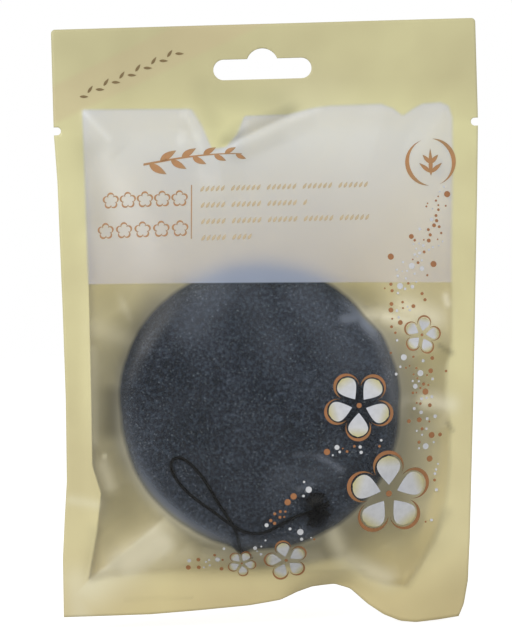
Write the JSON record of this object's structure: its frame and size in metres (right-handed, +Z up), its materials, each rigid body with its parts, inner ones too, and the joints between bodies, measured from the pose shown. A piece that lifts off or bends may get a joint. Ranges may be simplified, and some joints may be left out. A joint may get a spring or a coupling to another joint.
{
  "type": "konjac sponge in a hanging pouch",
  "caption": "Round soft konjac sponge with a threaded cord loop, heat sealed in a flat film pouch with a hanging slot and tear notches.",
  "frame": {"origin": "centre of the hanging slot's long part, in the plane where the two webs of film meet", "axes": "+Z up through the header, the pouch hangs along -Z; the front with the clear window faces -Y; +X is to the right of someone looking at the front"},
  "size_m": [0.1307, 0.0331, 0.1835],
  "materials": {
    "front_film": "frosted translucent film",
    "back_film": "pale yellow film, satin",
    "fused_seal": "fused film layer",
    "konjac": "charcoal grey, finely porous, damp",
    "cotton_cord": "black twisted cotton"
  },
  "bodies": {
    "header": {"header_front_film": "front_film", "header_back_film": "back_film", "header_seal": "fused_seal"},
    "pouch": {"front_film": "front_film", "back_film": "back_film", "left_seal": "fused_seal", "right_seal": "fused_seal", "bottom_seal": "fused_seal"},
    "sponge": {"sponge": "konjac", "cord": "cotton_cord", "cord_through": "cotton_cord", "knot": "cotton_cord", "knot_tails": "cotton_cord"}
  },
  "joints": [
    {"name": "tear_line_fold", "type": "hinge", "parent": "header", "child": "pouch", "pos_m": [0, 0, -0.0176], "axis": [1, 0, 0], "range_deg": [-90, 90]},
    {"name": "sponge_turn", "type": "hinge", "parent": "pouch", "child": "sponge", "pos_m": [-0.0036, 0, -0.1032], "axis": [0, 1, 0], "range_deg": [-45, 45]}
  ]
}
